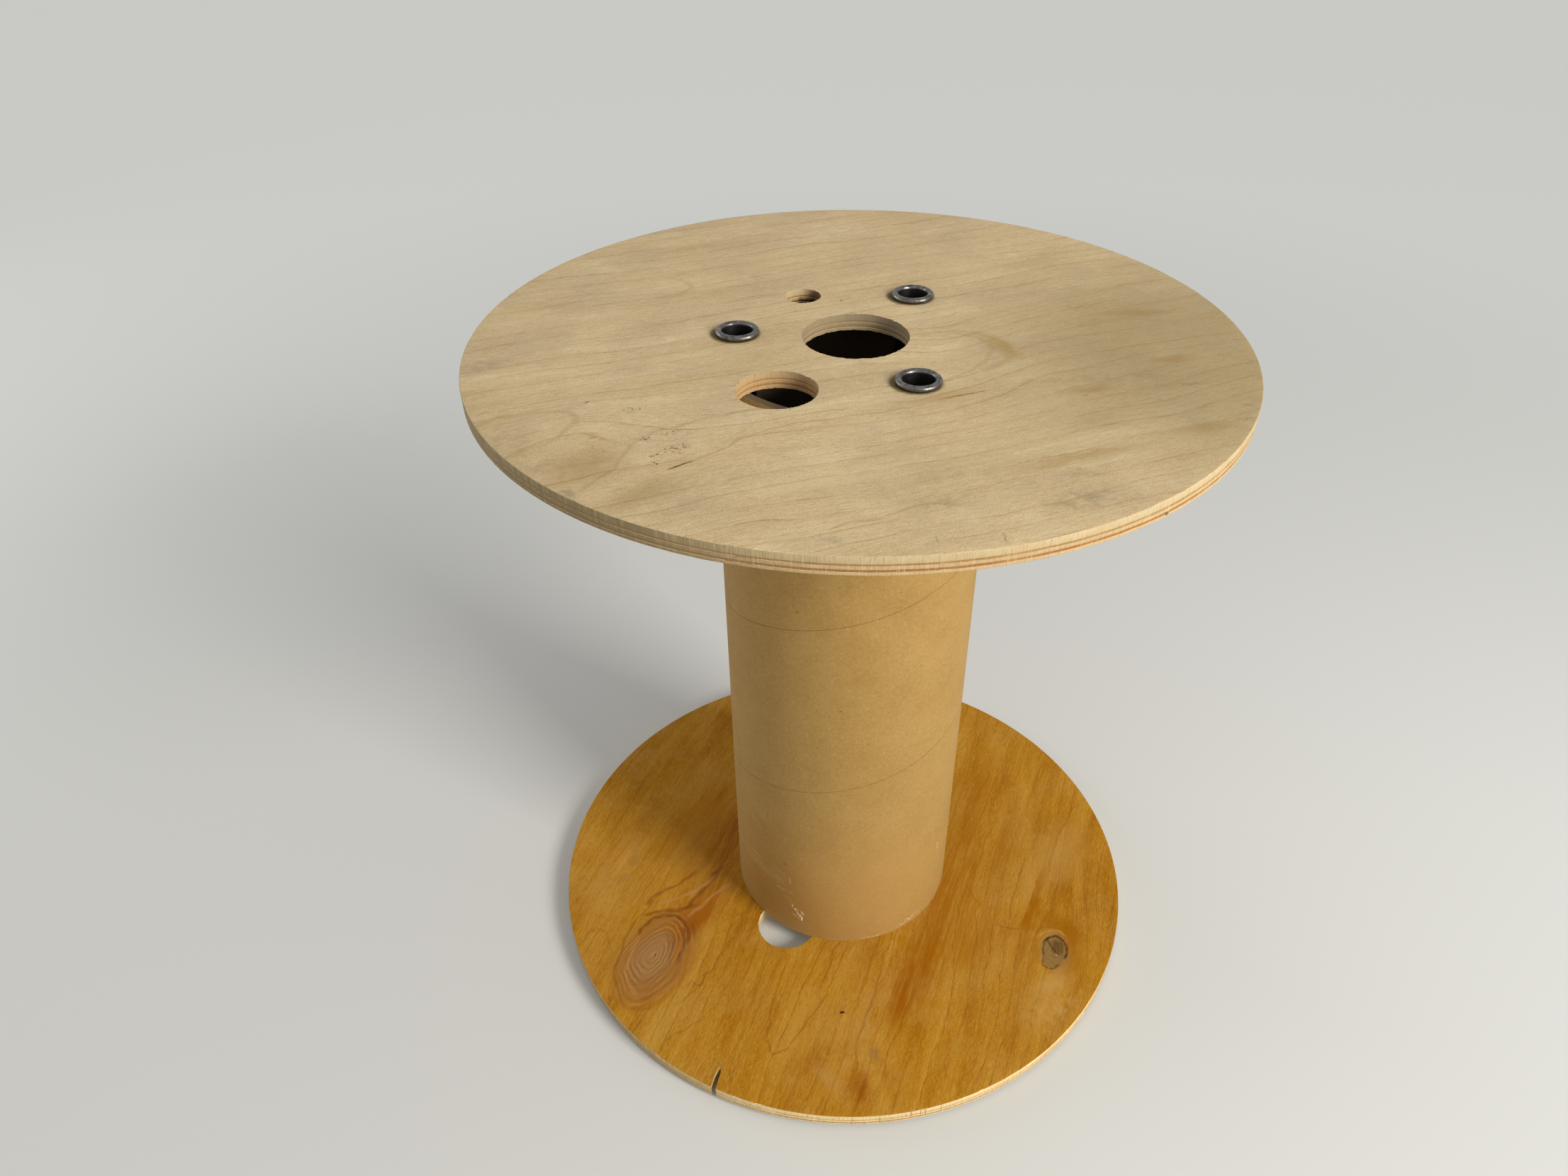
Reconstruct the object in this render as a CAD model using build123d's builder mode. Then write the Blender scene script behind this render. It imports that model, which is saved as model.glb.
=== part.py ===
from build123d import *
import os

os.makedirs("parts", exist_ok=True)

# An empty plywood cable drum standing on its end.
# Two flanges are clamped on a cardboard core by three steel tie tubes with rolled lips.
# The origin is on the drum's axis, level with the lips that it stands on, and +Z is up.
# Lengths are in millimetres and angles in degrees, counted from +X towards +Y.

# Flanges
flange_diameter = 400
flange_thickness = 9
flange_edge_break = 0.5
spindle_bore_diameter = 56

# Core, which is also the clear width for the cable
winding_width = 400
core_diameter = 150
core_wall = 4

# Tie tubes
tie_tube_diameter = 18
tie_tube_wall = 1
tie_hole_clearance = 0.2
tie_core_clearance = 0.5
tie_count = 3
tie_start_angle = 60

# Rolled lips at the ends of the tie tubes
lip_overhang = 2.5
lip_height = 3
lip_foot_round = 0.6

# Hole where the cable's inner end comes out, centred on the core's wall
cable_hole_diameter = 40
cable_hole_angle = 240

# Hole for a drive pin, just inside the core
drive_hole_diameter = 20
drive_hole_margin = 1
drive_hole_angle = 120

# Split along the grain of the lower flange, open to its rim
split_length = 14
split_width = 2.6
split_angle = 248.2
split_grain_angle = 77
split_waist_width = 2.2
split_waist_share = 0.55

# One overrun serves every cut that goes past an edge
cut_overrun = 5

# Heights of the faces, from the lips on the ground up
lower_flange_height = lip_height
core_foot_height = lower_flange_height + flange_thickness
core_top_height = core_foot_height + winding_width
upper_face_height = core_top_height + flange_thickness
drum_height = upper_face_height + lip_height
middle_height = drum_height / 2

# Radii that mating pieces share
flange_radius = flange_diameter / 2
core_outer_radius = core_diameter / 2
core_inner_radius = core_outer_radius - core_wall
tie_tube_radius = tie_tube_diameter / 2
tie_bore_radius = tie_tube_radius - tie_tube_wall
tie_hole_radius = tie_tube_radius + tie_hole_clearance
tie_circle_radius = core_inner_radius - tie_core_clearance - tie_tube_radius
cable_circle_radius = core_outer_radius - core_wall / 2
drive_hole_radius = drive_hole_diameter / 2
drive_circle_radius = core_inner_radius - drive_hole_margin - drive_hole_radius


def polar_place(radius, angle):
    """The point at this radius and angle round the drum's axis."""
    return Vector(radius, 0, 0).rotate(Axis.Z, angle)


# The two flanges have the same holes, and the split is in the lower one alone.
for flange_name, face_height, is_split in (
    ("upper_flange", core_top_height, False),
    ("lower_flange", lower_flange_height, True),
):
    with BuildPart() as flange:
        with BuildSketch(Plane.XY.offset(face_height)) as flange_outline:
            Circle(flange_radius)
            Circle(spindle_bore_diameter / 2, mode=Mode.SUBTRACT)
            with PolarLocations(tie_circle_radius, tie_count, start_angle=tie_start_angle):
                Circle(tie_hole_radius, mode=Mode.SUBTRACT)
            with Locations(polar_place(cable_circle_radius, cable_hole_angle)):
                Circle(cable_hole_diameter / 2, mode=Mode.SUBTRACT)
            with Locations(polar_place(drive_circle_radius, drive_hole_angle)):
                Circle(drive_hole_radius, mode=Mode.SUBTRACT)

            # The split runs in from the rim along the grain and narrows to a point.
            if is_split:
                split_mouth = polar_place(flange_radius, split_angle)
                with Locations(Location(split_mouth, (0, 0, split_grain_angle))):
                    Polygon(
                        (-cut_overrun, split_width / 2),
                        (0, split_width / 2),
                        (split_length * split_waist_share, split_waist_width / 2),
                        (split_length, 0),
                        (split_length * split_waist_share, -split_waist_width / 2),
                        (0, -split_width / 2),
                        (-cut_overrun, -split_width / 2),
                        align=None,
                        mode=Mode.SUBTRACT,
                    )
        extrude(amount=flange_thickness)

        # The rim's two sharp edges are broken.
        round_edges = flange.edges().filter_by(GeomType.CIRCLE)
        rim_edges = round_edges.filter_by(lambda edge: edge.radius > flange_radius - flange_edge_break)
        chamfer(rim_edges, length=flange_edge_break)

    flange.part.label = flange_name
    export_step(flange.part, f"parts/{flange_name}.step")


# The core butts on both flanges' inner faces.
with BuildPart() as core_tube:
    with BuildSketch(Plane.XY.offset(core_foot_height)) as core_ring:
        Circle(core_outer_radius)
        Circle(core_inner_radius, mode=Mode.SUBTRACT)
    extrude(amount=winding_width)

core_tube.part.label = "core_tube"
export_step(core_tube.part, "parts/core_tube.step")


# Each tie tube is turned from half its section, mirrored at the drum's middle.
# Its lips are rolled outwards and seat on the flanges' outer faces.
lip_outer_radius = tie_tube_radius + lip_overhang
lip_crest_radius = (lip_outer_radius - tie_bore_radius) / 2
lip_shoulder_height = drum_height - lip_crest_radius
lip_foot_height = upper_face_height + lip_foot_round

for tie_number in range(1, tie_count + 1):
    tie_angle = tie_start_angle + 360 / tie_count * tie_number
    tie_centre = polar_place(tie_circle_radius, tie_angle)

    with BuildPart() as tie_tube:
        with BuildSketch(Plane(origin=tie_centre, x_dir=(1, 0, 0), z_dir=(0, -1, 0))) as tie_section:
            with BuildLine() as tie_outline:
                Line((tie_bore_radius, middle_height), (tie_bore_radius, lip_shoulder_height))
                ThreePointArc(
                    (tie_bore_radius, lip_shoulder_height),
                    (tie_bore_radius + lip_crest_radius, drum_height),
                    (lip_outer_radius, lip_shoulder_height),
                )
                Polyline(
                    (lip_outer_radius, lip_shoulder_height),
                    (lip_outer_radius, lip_foot_height),
                    (lip_outer_radius - lip_foot_round, upper_face_height),
                    (tie_tube_radius, upper_face_height),
                    (tie_tube_radius, middle_height),
                )
                mirror(about=Plane.XZ.offset(-middle_height))
            make_face()
        revolve(axis=Axis(tie_centre, (0, 0, 1)))

    tie_tube.part.label = f"tie_tube_{tie_number}"
    export_step(tie_tube.part, f"parts/tie_tube_{tie_number}.step")
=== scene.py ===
import math
import random
from functools import partial

import bmesh
import bpy
from mathutils import Matrix, Vector


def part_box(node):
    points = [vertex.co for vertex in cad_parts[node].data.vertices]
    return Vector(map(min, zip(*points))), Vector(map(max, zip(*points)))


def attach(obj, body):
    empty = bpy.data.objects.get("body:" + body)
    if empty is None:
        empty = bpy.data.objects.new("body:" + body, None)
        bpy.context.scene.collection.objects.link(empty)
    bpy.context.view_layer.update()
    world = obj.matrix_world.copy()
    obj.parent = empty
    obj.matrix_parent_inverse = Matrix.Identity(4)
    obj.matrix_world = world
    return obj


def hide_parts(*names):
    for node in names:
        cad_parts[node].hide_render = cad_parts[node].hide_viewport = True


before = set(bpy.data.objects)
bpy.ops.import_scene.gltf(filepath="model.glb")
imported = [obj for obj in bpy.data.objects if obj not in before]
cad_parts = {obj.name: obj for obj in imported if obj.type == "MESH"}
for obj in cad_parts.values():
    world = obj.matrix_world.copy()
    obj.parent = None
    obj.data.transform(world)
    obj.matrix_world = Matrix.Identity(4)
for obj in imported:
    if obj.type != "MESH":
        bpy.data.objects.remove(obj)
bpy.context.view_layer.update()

# An empty plywood cable drum on its end: two flanges, a wound cardboard core and three steel tie tubes.
# Metres in the CAD frame. Names that end in "Mm", and all marks and cuts on the surfaces, are in millimetres.
mm = 0.001
touch = 0.01 * mm          # places nearer than this count as the same
random.seed(11)


def clearSelection():
    if bpy.context.mode != "OBJECT":
        bpy.ops.object.mode_set(mode="OBJECT")
    bpy.ops.object.select_all(action="DESELECT")


def chooseOnly(piece):
    clearSelection()
    piece.select_set(True)
    bpy.context.view_layer.objects.active = piece


def editOnly(piece):
    chooseOnly(piece)
    bpy.ops.object.mode_set(mode="EDIT")


def leaveEdit():
    bpy.ops.object.mode_set(mode="OBJECT")


def selectAll():
    bpy.ops.mesh.select_all(action="SELECT")


def pick(piece, kind, test):
    # selects the VERT, EDGE or FACE parts that pass a test of place or normal
    bpy.ops.mesh.select_mode(type=kind)
    bpy.ops.mesh.select_all(action="DESELECT")
    shape = bmesh.from_edit_mesh(piece.data)
    parts = {"VERT": shape.verts, "EDGE": shape.edges, "FACE": shape.faces}[kind]
    for part in parts:
        if test(part):
            part.select_set(True)
    shape.select_flush_mode()
    bmesh.update_edit_mesh(piece.data)


def startPoint(place):
    # a plane merged to one vertex, from which a profile is drawn by extruding
    clearSelection()
    bpy.ops.mesh.primitive_plane_add(size=mm, location=(0, 0, 0))
    piece = bpy.context.object
    bpy.ops.object.mode_set(mode="EDIT")
    bpy.ops.mesh.select_mode(type="VERT")
    selectAll()
    bpy.ops.mesh.merge(type="CENTER")
    bpy.ops.transform.translate(value=place)
    return piece


def cutAt(place, way, **more):
    # cuts what is selected along a plane, and keeps corners apart that lie closer than the tool's usual 0.1 mm
    bpy.ops.mesh.bisect(plane_co=place, plane_no=way, threshold=0.001 * mm, **more)


def cutAllAt(place, way, **more):
    selectAll()
    cutAt(place, way, **more)


def extrudeBy(step):
    bpy.ops.mesh.extrude_region_move(TRANSFORM_OT_translate={"value": step})


def roughen(offset, seed):
    # pushes the selected corners about, each its own way
    bpy.ops.transform.vertex_random(offset=offset, uniform=0.0, normal=0.0, seed=seed)


def faceOut():
    selectAll()
    bpy.ops.mesh.normals_make_consistent(inside=False)


def applyModifier(piece, kind, **settings):
    chooseOnly(piece)
    modifier = piece.modifiers.new(kind.title(), kind)
    for key, value in settings.items():
        setattr(modifier, key, value)
    bpy.ops.object.modifier_apply(modifier=modifier.name)


def pushByClouds(piece, name, cloudSize, strength, direction="NORMAL"):
    clouds = bpy.data.textures.new(name, "CLOUDS")
    clouds.noise_scale = cloudSize
    applyModifier(piece, "DISPLACE", texture=clouds, texture_coords="LOCAL", direction=direction, strength=strength,
                  mid_level=0.5)


def joinInto(piece, others):
    chooseOnly(piece)
    for other in others:
        other.select_set(True)
    bpy.ops.object.join()


def placeApplied(piece, location=(0, 0, 0), turn=(0, 0, 0)):
    chooseOnly(piece)
    piece.location = location
    piece.rotation_euler = turn
    bpy.ops.object.transform_apply(location=True, rotation=True, scale=True)


def copyPiece(piece):
    twin = piece.copy()
    twin.data = piece.data.copy()
    bpy.context.scene.collection.objects.link(twin)
    return twin


def onCircle(radius, degrees, height=0.0):
    return Vector((radius * math.cos(math.radians(degrees)), radius * math.sin(math.radians(degrees)), height))


def paintFaces(piece, slotNumber, test):
    editOnly(piece)
    pick(piece, "FACE", test)
    piece.active_material_index = slotNumber
    bpy.ops.object.material_slot_assign()
    leaveEdit()


def smoothTo(piece, degrees):
    chooseOnly(piece)
    bpy.ops.object.shade_smooth_by_angle(angle=math.radians(degrees))


def hexColour(text):
    channels = [int(text[k:k + 2], 16) / 255 for k in (1, 3, 5)]
    return tuple(c / 12.92 if c <= 0.04045 else ((c + 0.055) / 1.055) ** 2.4 for c in channels) + (1.0,)


def addNode(tree, kind, *values, stops=None, **named):
    # values go to the open sockets in their order; a name with a capital is a socket, any other one a setting
    node = tree.nodes.new("ShaderNode" + kind)
    inputs = dict(enumerate(values))
    for key, value in named.items():
        if key[0].islower():
            setattr(node, key, value)
        else:
            inputs[key.replace("_", " ")] = value
    if stops:
        ramp = node.color_ramp
        while len(ramp.elements) < len(stops):
            ramp.elements.new(0.5)
        for element, (position, colour) in zip(ramp.elements, stops):
            element.position = position
            element.color = hexColour(colour) if isinstance(colour, str) else (colour,) * 4
    sockets = [socket for socket in node.inputs if socket.enabled]
    for key, value in inputs.items():
        socket = sockets[key] if isinstance(key, int) else next(s for s in sockets if s.name == key)
        if isinstance(value, bpy.types.Node):
            value = next(s for s in value.outputs if s.enabled)
        if isinstance(value, bpy.types.NodeSocket):
            tree.links.new(value, socket)
        elif isinstance(value, str):
            socket.default_value = hexColour(value)
        else:
            socket.default_value = value
    return node


def startNodes(owner):
    # empties the nodes of a material or world, and gives back the function that adds to them
    owner.use_nodes = True
    owner.node_tree.nodes.clear()
    return partial(addNode, owner.node_tree)


def startMaterial(name):
    material = bpy.data.materials.new(name)
    add = startNodes(material)
    return material, add, add("TexCoord").outputs["Object"]


def finishMaterial(add, **shader):
    add("OutputMaterial", Surface=add("BsdfPrincipled", **shader))


def blend(add, factor, colourA, colourB):
    return add("Mix", factor, colourA, colourB, data_type="RGBA")


def stretchedNoise(add, place, stretch, shift=(0, 0, 0), **noise):
    # noise that is longer one way than another; a stretch of 0.5 per mm gives spots about 2 mm long
    mapped = add("Mapping", place, Location=shift, Scale=stretch)
    return add("TexNoise", mapped, Scale=1.0, **noise)


def addMarks(add, place, colour, marks, grainAngle=0):
    # stains, scuffs, cracks and flecks, each a soft oval, laid over one another in their order
    # three kinds of outline: clean, pushed about softly, and pushed about raggedly, by up to 3 mm
    outlines = {"clean": place}
    for outline, scale, detail in (("ragged", 260.0, 3.0), ("soft", 90.0, 1.0)):
        jitter = add("TexNoise", place, Scale=scale, Detail=detail)
        centred = add("VectorMath", jitter.outputs["Color"], (0.5, 0.5, 0.5), operation="SUBTRACT")
        outlines[outline] = add("VectorMath", centred, (6 * mm,) * 3, place, operation="MULTIPLY_ADD")
    # three ways to be broken up: in specks of 1 mm, in clouds of 6 mm, and in streaks along the grain,
    # 40 mm long and 3 mm apart
    specks = add("TexNoise", place, Scale=820.0, Detail=2.0)
    clouds = add("TexNoise", place, Scale=170.0, Detail=4.0, Roughness=0.65)
    grainMap = add("Mapping", place, Rotation=(0, 0, math.radians(grainAngle)), Scale=(40 * mm, 3 * mm, 10 * mm),
                   vector_type="TEXTURE")
    streaks = add("TexNoise", grainMap, Scale=1.0, Detail=4.0, Roughness=0.6)
    effects = {
        "broken": add("MapRange", specks, 0.52, 0.6),
        "patchy": add("MapRange", clouds, 0.4, 0.62, 0.15),
        "streaky": add("MapRange", streaks, 0.36, 0.6, 0.12),
    }
    for mark in marks:
        outline, *brokenBy = mark["kind"].split()
        local = add("Mapping", outlines[outline], Location=[c * mm for c in mark["at"]], Rotation=mark["turn"],
                    Scale=[c * mm for c in mark["size"]], vector_type="TEXTURE")
        # one at the oval's centre and none from its edge outwards
        inside = add("TexGradient", local, gradient_type="SPHERICAL").outputs["Fac"]
        cover = add("MapRange", inside, 0.0, 1 - mark["core"], 0.0, mark["strength"], interpolation_type="SMOOTHSTEP")
        for effect in brokenBy:
            cover = add("Math", cover, effects[effect], operation="MULTIPLY")
        colour = blend(add, cover, colour, mark["colour"])
    return colour


def makeMark(at, turn, size, colour, strength, core=0.2, kind="ragged"):
    # its centre and half lengths in mm, and the part of it that has its full strength
    # its kind is its outline's, and after that how it is broken up
    return {"at": at, "turn": turn, "size": size, "colour": colour, "strength": strength, "core": core, "kind": kind}


def flatMark(x, y, angle, length, width, *look):
    # a mark on a flange's face, its length along the angle
    throughout = 1e6
    return makeMark((x, y, 0), (0, 0, math.radians(angle)), (length / 2, width / 2, throughout), *look)


def strokeMarks(points, width, colour, strength, kind="soft"):
    # a line on a flange's face, drawn through points by ovals that overlap
    overlap, core = 1.7, 0.2
    marks = []
    for (startX, startY), (endX, endY) in zip(points, points[1:]):
        stepX, stepY = endX - startX, endY - startY
        angle = math.degrees(math.atan2(stepY, stepX))
        marks.append(flatMark((startX + endX) / 2, (startY + endY) / 2, angle, overlap * math.hypot(stepX, stepY),
                              width, colour, strength, core, kind))
    return marks


def flatMarks(rows):
    # a spot's row has its x, y, angle, length, width, colour, strength, core and kind,
    # and a line's row has its points, width, colour, strength and kind
    marks = []
    for row in rows:
        marks += strokeMarks(*row) if isinstance(row[0], list) else [flatMark(*row)]
    return marks


def veneerMaterial(name, look):
    # Rotary-cut birch veneer, sanded and left bare: thin growth lines, short fibres and a dry, matt surface
    material, add, place = startMaterial(name)
    # millimetres, with X along the grain
    turned = add("Mapping", place, Rotation=(0, 0, -math.radians(look["grainAngle"])), Scale=(1000, 1000, 1000))
    across = add("SeparateXYZ", turned).outputs["Y"]

    # growth lines: distance across the grain in mm, wandering slowly along it and a little jagged
    wander = stretchedNoise(add, turned, (0.007, 0.015, 0.05), look["patternShift"], Detail=3.0, Roughness=0.42)
    field = add("Math", wander, look["wanderMm"], across, operation="MULTIPLY_ADD")
    jags = stretchedNoise(add, turned, (0.06, 0.16, 0.2), Detail=3.0, Roughness=0.5)
    field = add("Math", jags, look["jagMm"], field, operation="MULTIPLY_ADD")
    # they are lifted into a tongue at some places, and part round a knot at others
    for bend in look["bends"]:
        near = add("Mapping", place, Location=(bend["x"] * mm, bend["y"] * mm, 0),
                   Rotation=(0, 0, math.radians(bend.get("angle", look["grainAngle"]))),
                   Scale=(bend["length"] * mm, bend["width"] * mm, 1000), vector_type="TEXTURE")
        squared = add("VectorMath", near, near, operation="DOT_PRODUCT").outputs["Value"]
        inward = add("Math", squared, -1.0, operation="MULTIPLY")
        swell = add("Math", inward, operation="EXPONENT")
        field = add("Math", swell, bend["lift"], field, operation="MULTIPLY_ADD")
        if bend.get("part"):
            side = add("SeparateXYZ", near).outputs["Y"]
            push = add("Math", swell, side, operation="MULTIPLY")
            field = add("Math", push, -bend["part"] * bend["width"], field, operation="MULTIPLY_ADD")
    # strong lines, and fainter ones between them, both dashed and fading in and out along the grain
    dashes = stretchedNoise(add, turned, (0.1, 0.7, 0.5), (0.4, 5.2, 0), Detail=3.0, Roughness=0.7)
    dashed = add("MapRange", dashes, 0.4, 0.56, look["dashGap"])
    lineShows = []
    for spacing, shift, strongest in ((look["lineSpacingMm"], 3.1, look["lineStrong"]),
                                      (0.31 * look["lineSpacingMm"], 6.7, look["betweenStrength"])):
        rings = add("Math", field, 1 / spacing, operation="MULTIPLY")
        ringPart = add("Math", rings, operation="FRACT")
        line = add("ValToRGB", ringPart, stops=lineRamp).outputs["Alpha"]
        fade = stretchedNoise(add, turned, (0.014, 0.06, 0.05), (shift, 7.7, 0), Detail=3.0)
        fadeIn = add("MapRange", fade, 0.36, 0.56, look["lineFaint"], strongest)
        lineHere = add("Math", line, fadeIn, operation="MULTIPLY")
        lineShows.append(add("Math", lineHere, dashed, operation="MULTIPLY"))

    # fibres 6 mm long and 0.7 mm apart, grain streaks 33 mm long and 1.4 mm apart, pores 4 mm long and 0.4 mm wide
    # and a speckle of 0.9 mm, all a little coarser than real ones, so that they show
    fibres = stretchedNoise(add, turned, (0.17, 1.4, 1.0), Detail=3.0, Roughness=0.6)
    streaks = stretchedNoise(add, turned, (0.03, 0.7, 0.3), Detail=3.0, Roughness=0.55)
    pores = stretchedNoise(add, turned, (0.25, 2.4, 1.0), Detail=2.0)
    poreShow = add("MapRange", pores, 0.58, 0.7, 0.0, look["poreStrength"])
    speckle = add("TexNoise", turned, Scale=1.1, Detail=3.0, Roughness=0.7)
    bands = stretchedNoise(add, turned, (0.012, look["bandsAcross"], 0.05), (9.0, 1.0, 0), Detail=5.0, Roughness=0.6)
    blotches = add("TexNoise", place, Scale=24.0, Detail=5.0, Roughness=0.6)

    colour = add("ValToRGB", bands, stops=look["bandRamp"])
    blotchShow = add("MapRange", blotches, 0.44, 0.66, 0.0, look["blotchStrength"])
    colour = blend(add, blotchShow, colour, look["blotchColour"])
    for pattern, strength in ((fibres, look["fibreStrength"]), (speckle, look["speckleStrength"]),
                              (streaks, look["streakStrength"])):
        for start, end, shade in ((0.48, 0.68, look["fibreColour"]), (0.5, 0.32, look["paleFibre"])):
            colour = blend(add, add("MapRange", pattern, start, end, 0.0, strength), colour, shade)
    for lineShow in lineShows:
        colour = blend(add, lineShow, colour, look["lineColour"])
    colour = blend(add, poreShow, colour, look["poreColour"])

    knotRings = []
    for knot in look["knots"]:
        near = add("Mapping", place, Location=(knot["x"] * mm, knot["y"] * mm, 0),
                   Rotation=(0, 0, math.radians(knot["angle"])),
                   Scale=(knot["length"] / 2 * mm, knot["width"] / 2 * mm, 1000), vector_type="TEXTURE")
        # the oval is pushed out of shape broadly, and finely where fibres flow round it
        roundNoise = add("TexNoise", near, Scale=1.1, Detail=0.0)
        fineNoise = add("TexNoise", near, Scale=8.0, Detail=4.0, Roughness=0.6)
        reach = add("VectorMath", near, operation="LENGTH").outputs["Value"]
        uneven = add("Math", roundNoise, knot["uneven"], reach, operation="MULTIPLY_ADD")
        uneven = add("Math", fineNoise, knot["ragged"], uneven, operation="MULTIPLY_ADD")
        shift = (knot["uneven"] + knot["ragged"]) / 2
        ringsIn = add("MapRange", uneven, shift, 1 + shift)
        knotColour = add("ValToRGB", ringsIn, stops=knot["ramp"])
        knotCover = add("ValToRGB", ringsIn, stops=knot["cover"]).outputs["Alpha"]
        colour = blend(add, knotCover, colour, knotColour)
        # fine rings, some strong and some lost, which are drawn over the marks further on
        fine = add("Math", ringsIn, knot["fineRings"], operation="MULTIPLY")
        patches = add("TexNoise", near, Scale=2.4, Detail=3.0)
        shifted = add("Math", roundNoise, 14.0, fine, operation="MULTIPLY_ADD")
        shifted = add("Math", patches, 12.0, shifted, operation="MULTIPLY_ADD")
        wave = add("Math", shifted, operation="SINE")
        patchShow = add("MapRange", patches, 0.42, 0.6, 0.03, knot["ringStrength"])
        ringShow = add("Math", patchShow, knotCover, operation="MULTIPLY")
        knotRings += [(wave, ringShow, 0.0, 1.0, knot["ringColour"]), (wave, ringShow, -0.3, -1.0, knot["paleRing"])]
    colour = addMarks(add, place, colour, look["marks"], look["grainAngle"])
    for wave, ringShow, start, end, ringColour in knotRings:
        crest = add("MapRange", wave, start, end)
        colour = blend(add, add("Math", crest, ringShow, operation="MULTIPLY"), colour, ringColour)

    roughness = add("MapRange", fibres, 0.3, 0.7, *look["roughness"])
    relief = add("Math", fibres, poreShow, operation="SUBTRACT")
    bump = add("Bump", Height=relief, Strength=0.5, Distance=0.1 * mm)
    # bare wood: IOR 1.5 with little gloss
    finishMaterial(add, Base_Color=colour, Roughness=roughness, Specular_IOR_Level=look["gloss"], IOR=1.5, Normal=bump)
    return material


# a growth line's strength across it: slowly up, and sharply down at the end of the year
lineRamp = [(0.0, 0.0), (0.62, 0.0), (0.89, 0.24), (0.93, 1.0), (0.96, 0.85), (0.985, 0.0)]

outerVeneer = {
    "grainAngle": 24, "patternShift": (0.4, 2.6, 0.0), "wanderMm": 34, "jagMm": 3.0, "bandsAcross": 0.04,
    "lineSpacingMm": 12, "lineColour": "#A07A46", "lineStrong": 0.62, "lineFaint": 0.05, "dashGap": 0.45,
    "betweenStrength": 0.44,
    "bandRamp": [(0.32, "#D7C299"), (0.46, "#CEB68C"), (0.58, "#C9B085"), (0.7, "#BBA276")],
    "blotchColour": "#B7A180", "blotchStrength": 0.6, "fibreColour": "#A68B5F", "paleFibre": "#E2CFA9",
    "fibreStrength": 0.3, "speckleStrength": 0.36, "streakStrength": 0.05, "poreColour": "#8E7042",
    "poreStrength": 0.4, "roughness": (0.62, 0.8), "gloss": 0.16, "bends": [], "knots": [], "marks": [],
}

topBends = [
    {"x": 48, "y": -26, "length": 40, "width": 28, "lift": 14, "angle": 70},
    {"x": -128, "y": -112, "length": 48, "width": 30, "lift": -30, "angle": 35},
    {"x": -110, "y": 66, "length": 40, "width": 14, "lift": 16},
    {"x": 20, "y": -95, "length": 90, "width": 20, "lift": 9},
]

tieCircleMm = 61.5
tieAngles = {"tie_tube_1": 180, "tie_tube_2": 300, "tie_tube_3": 60}

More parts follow.
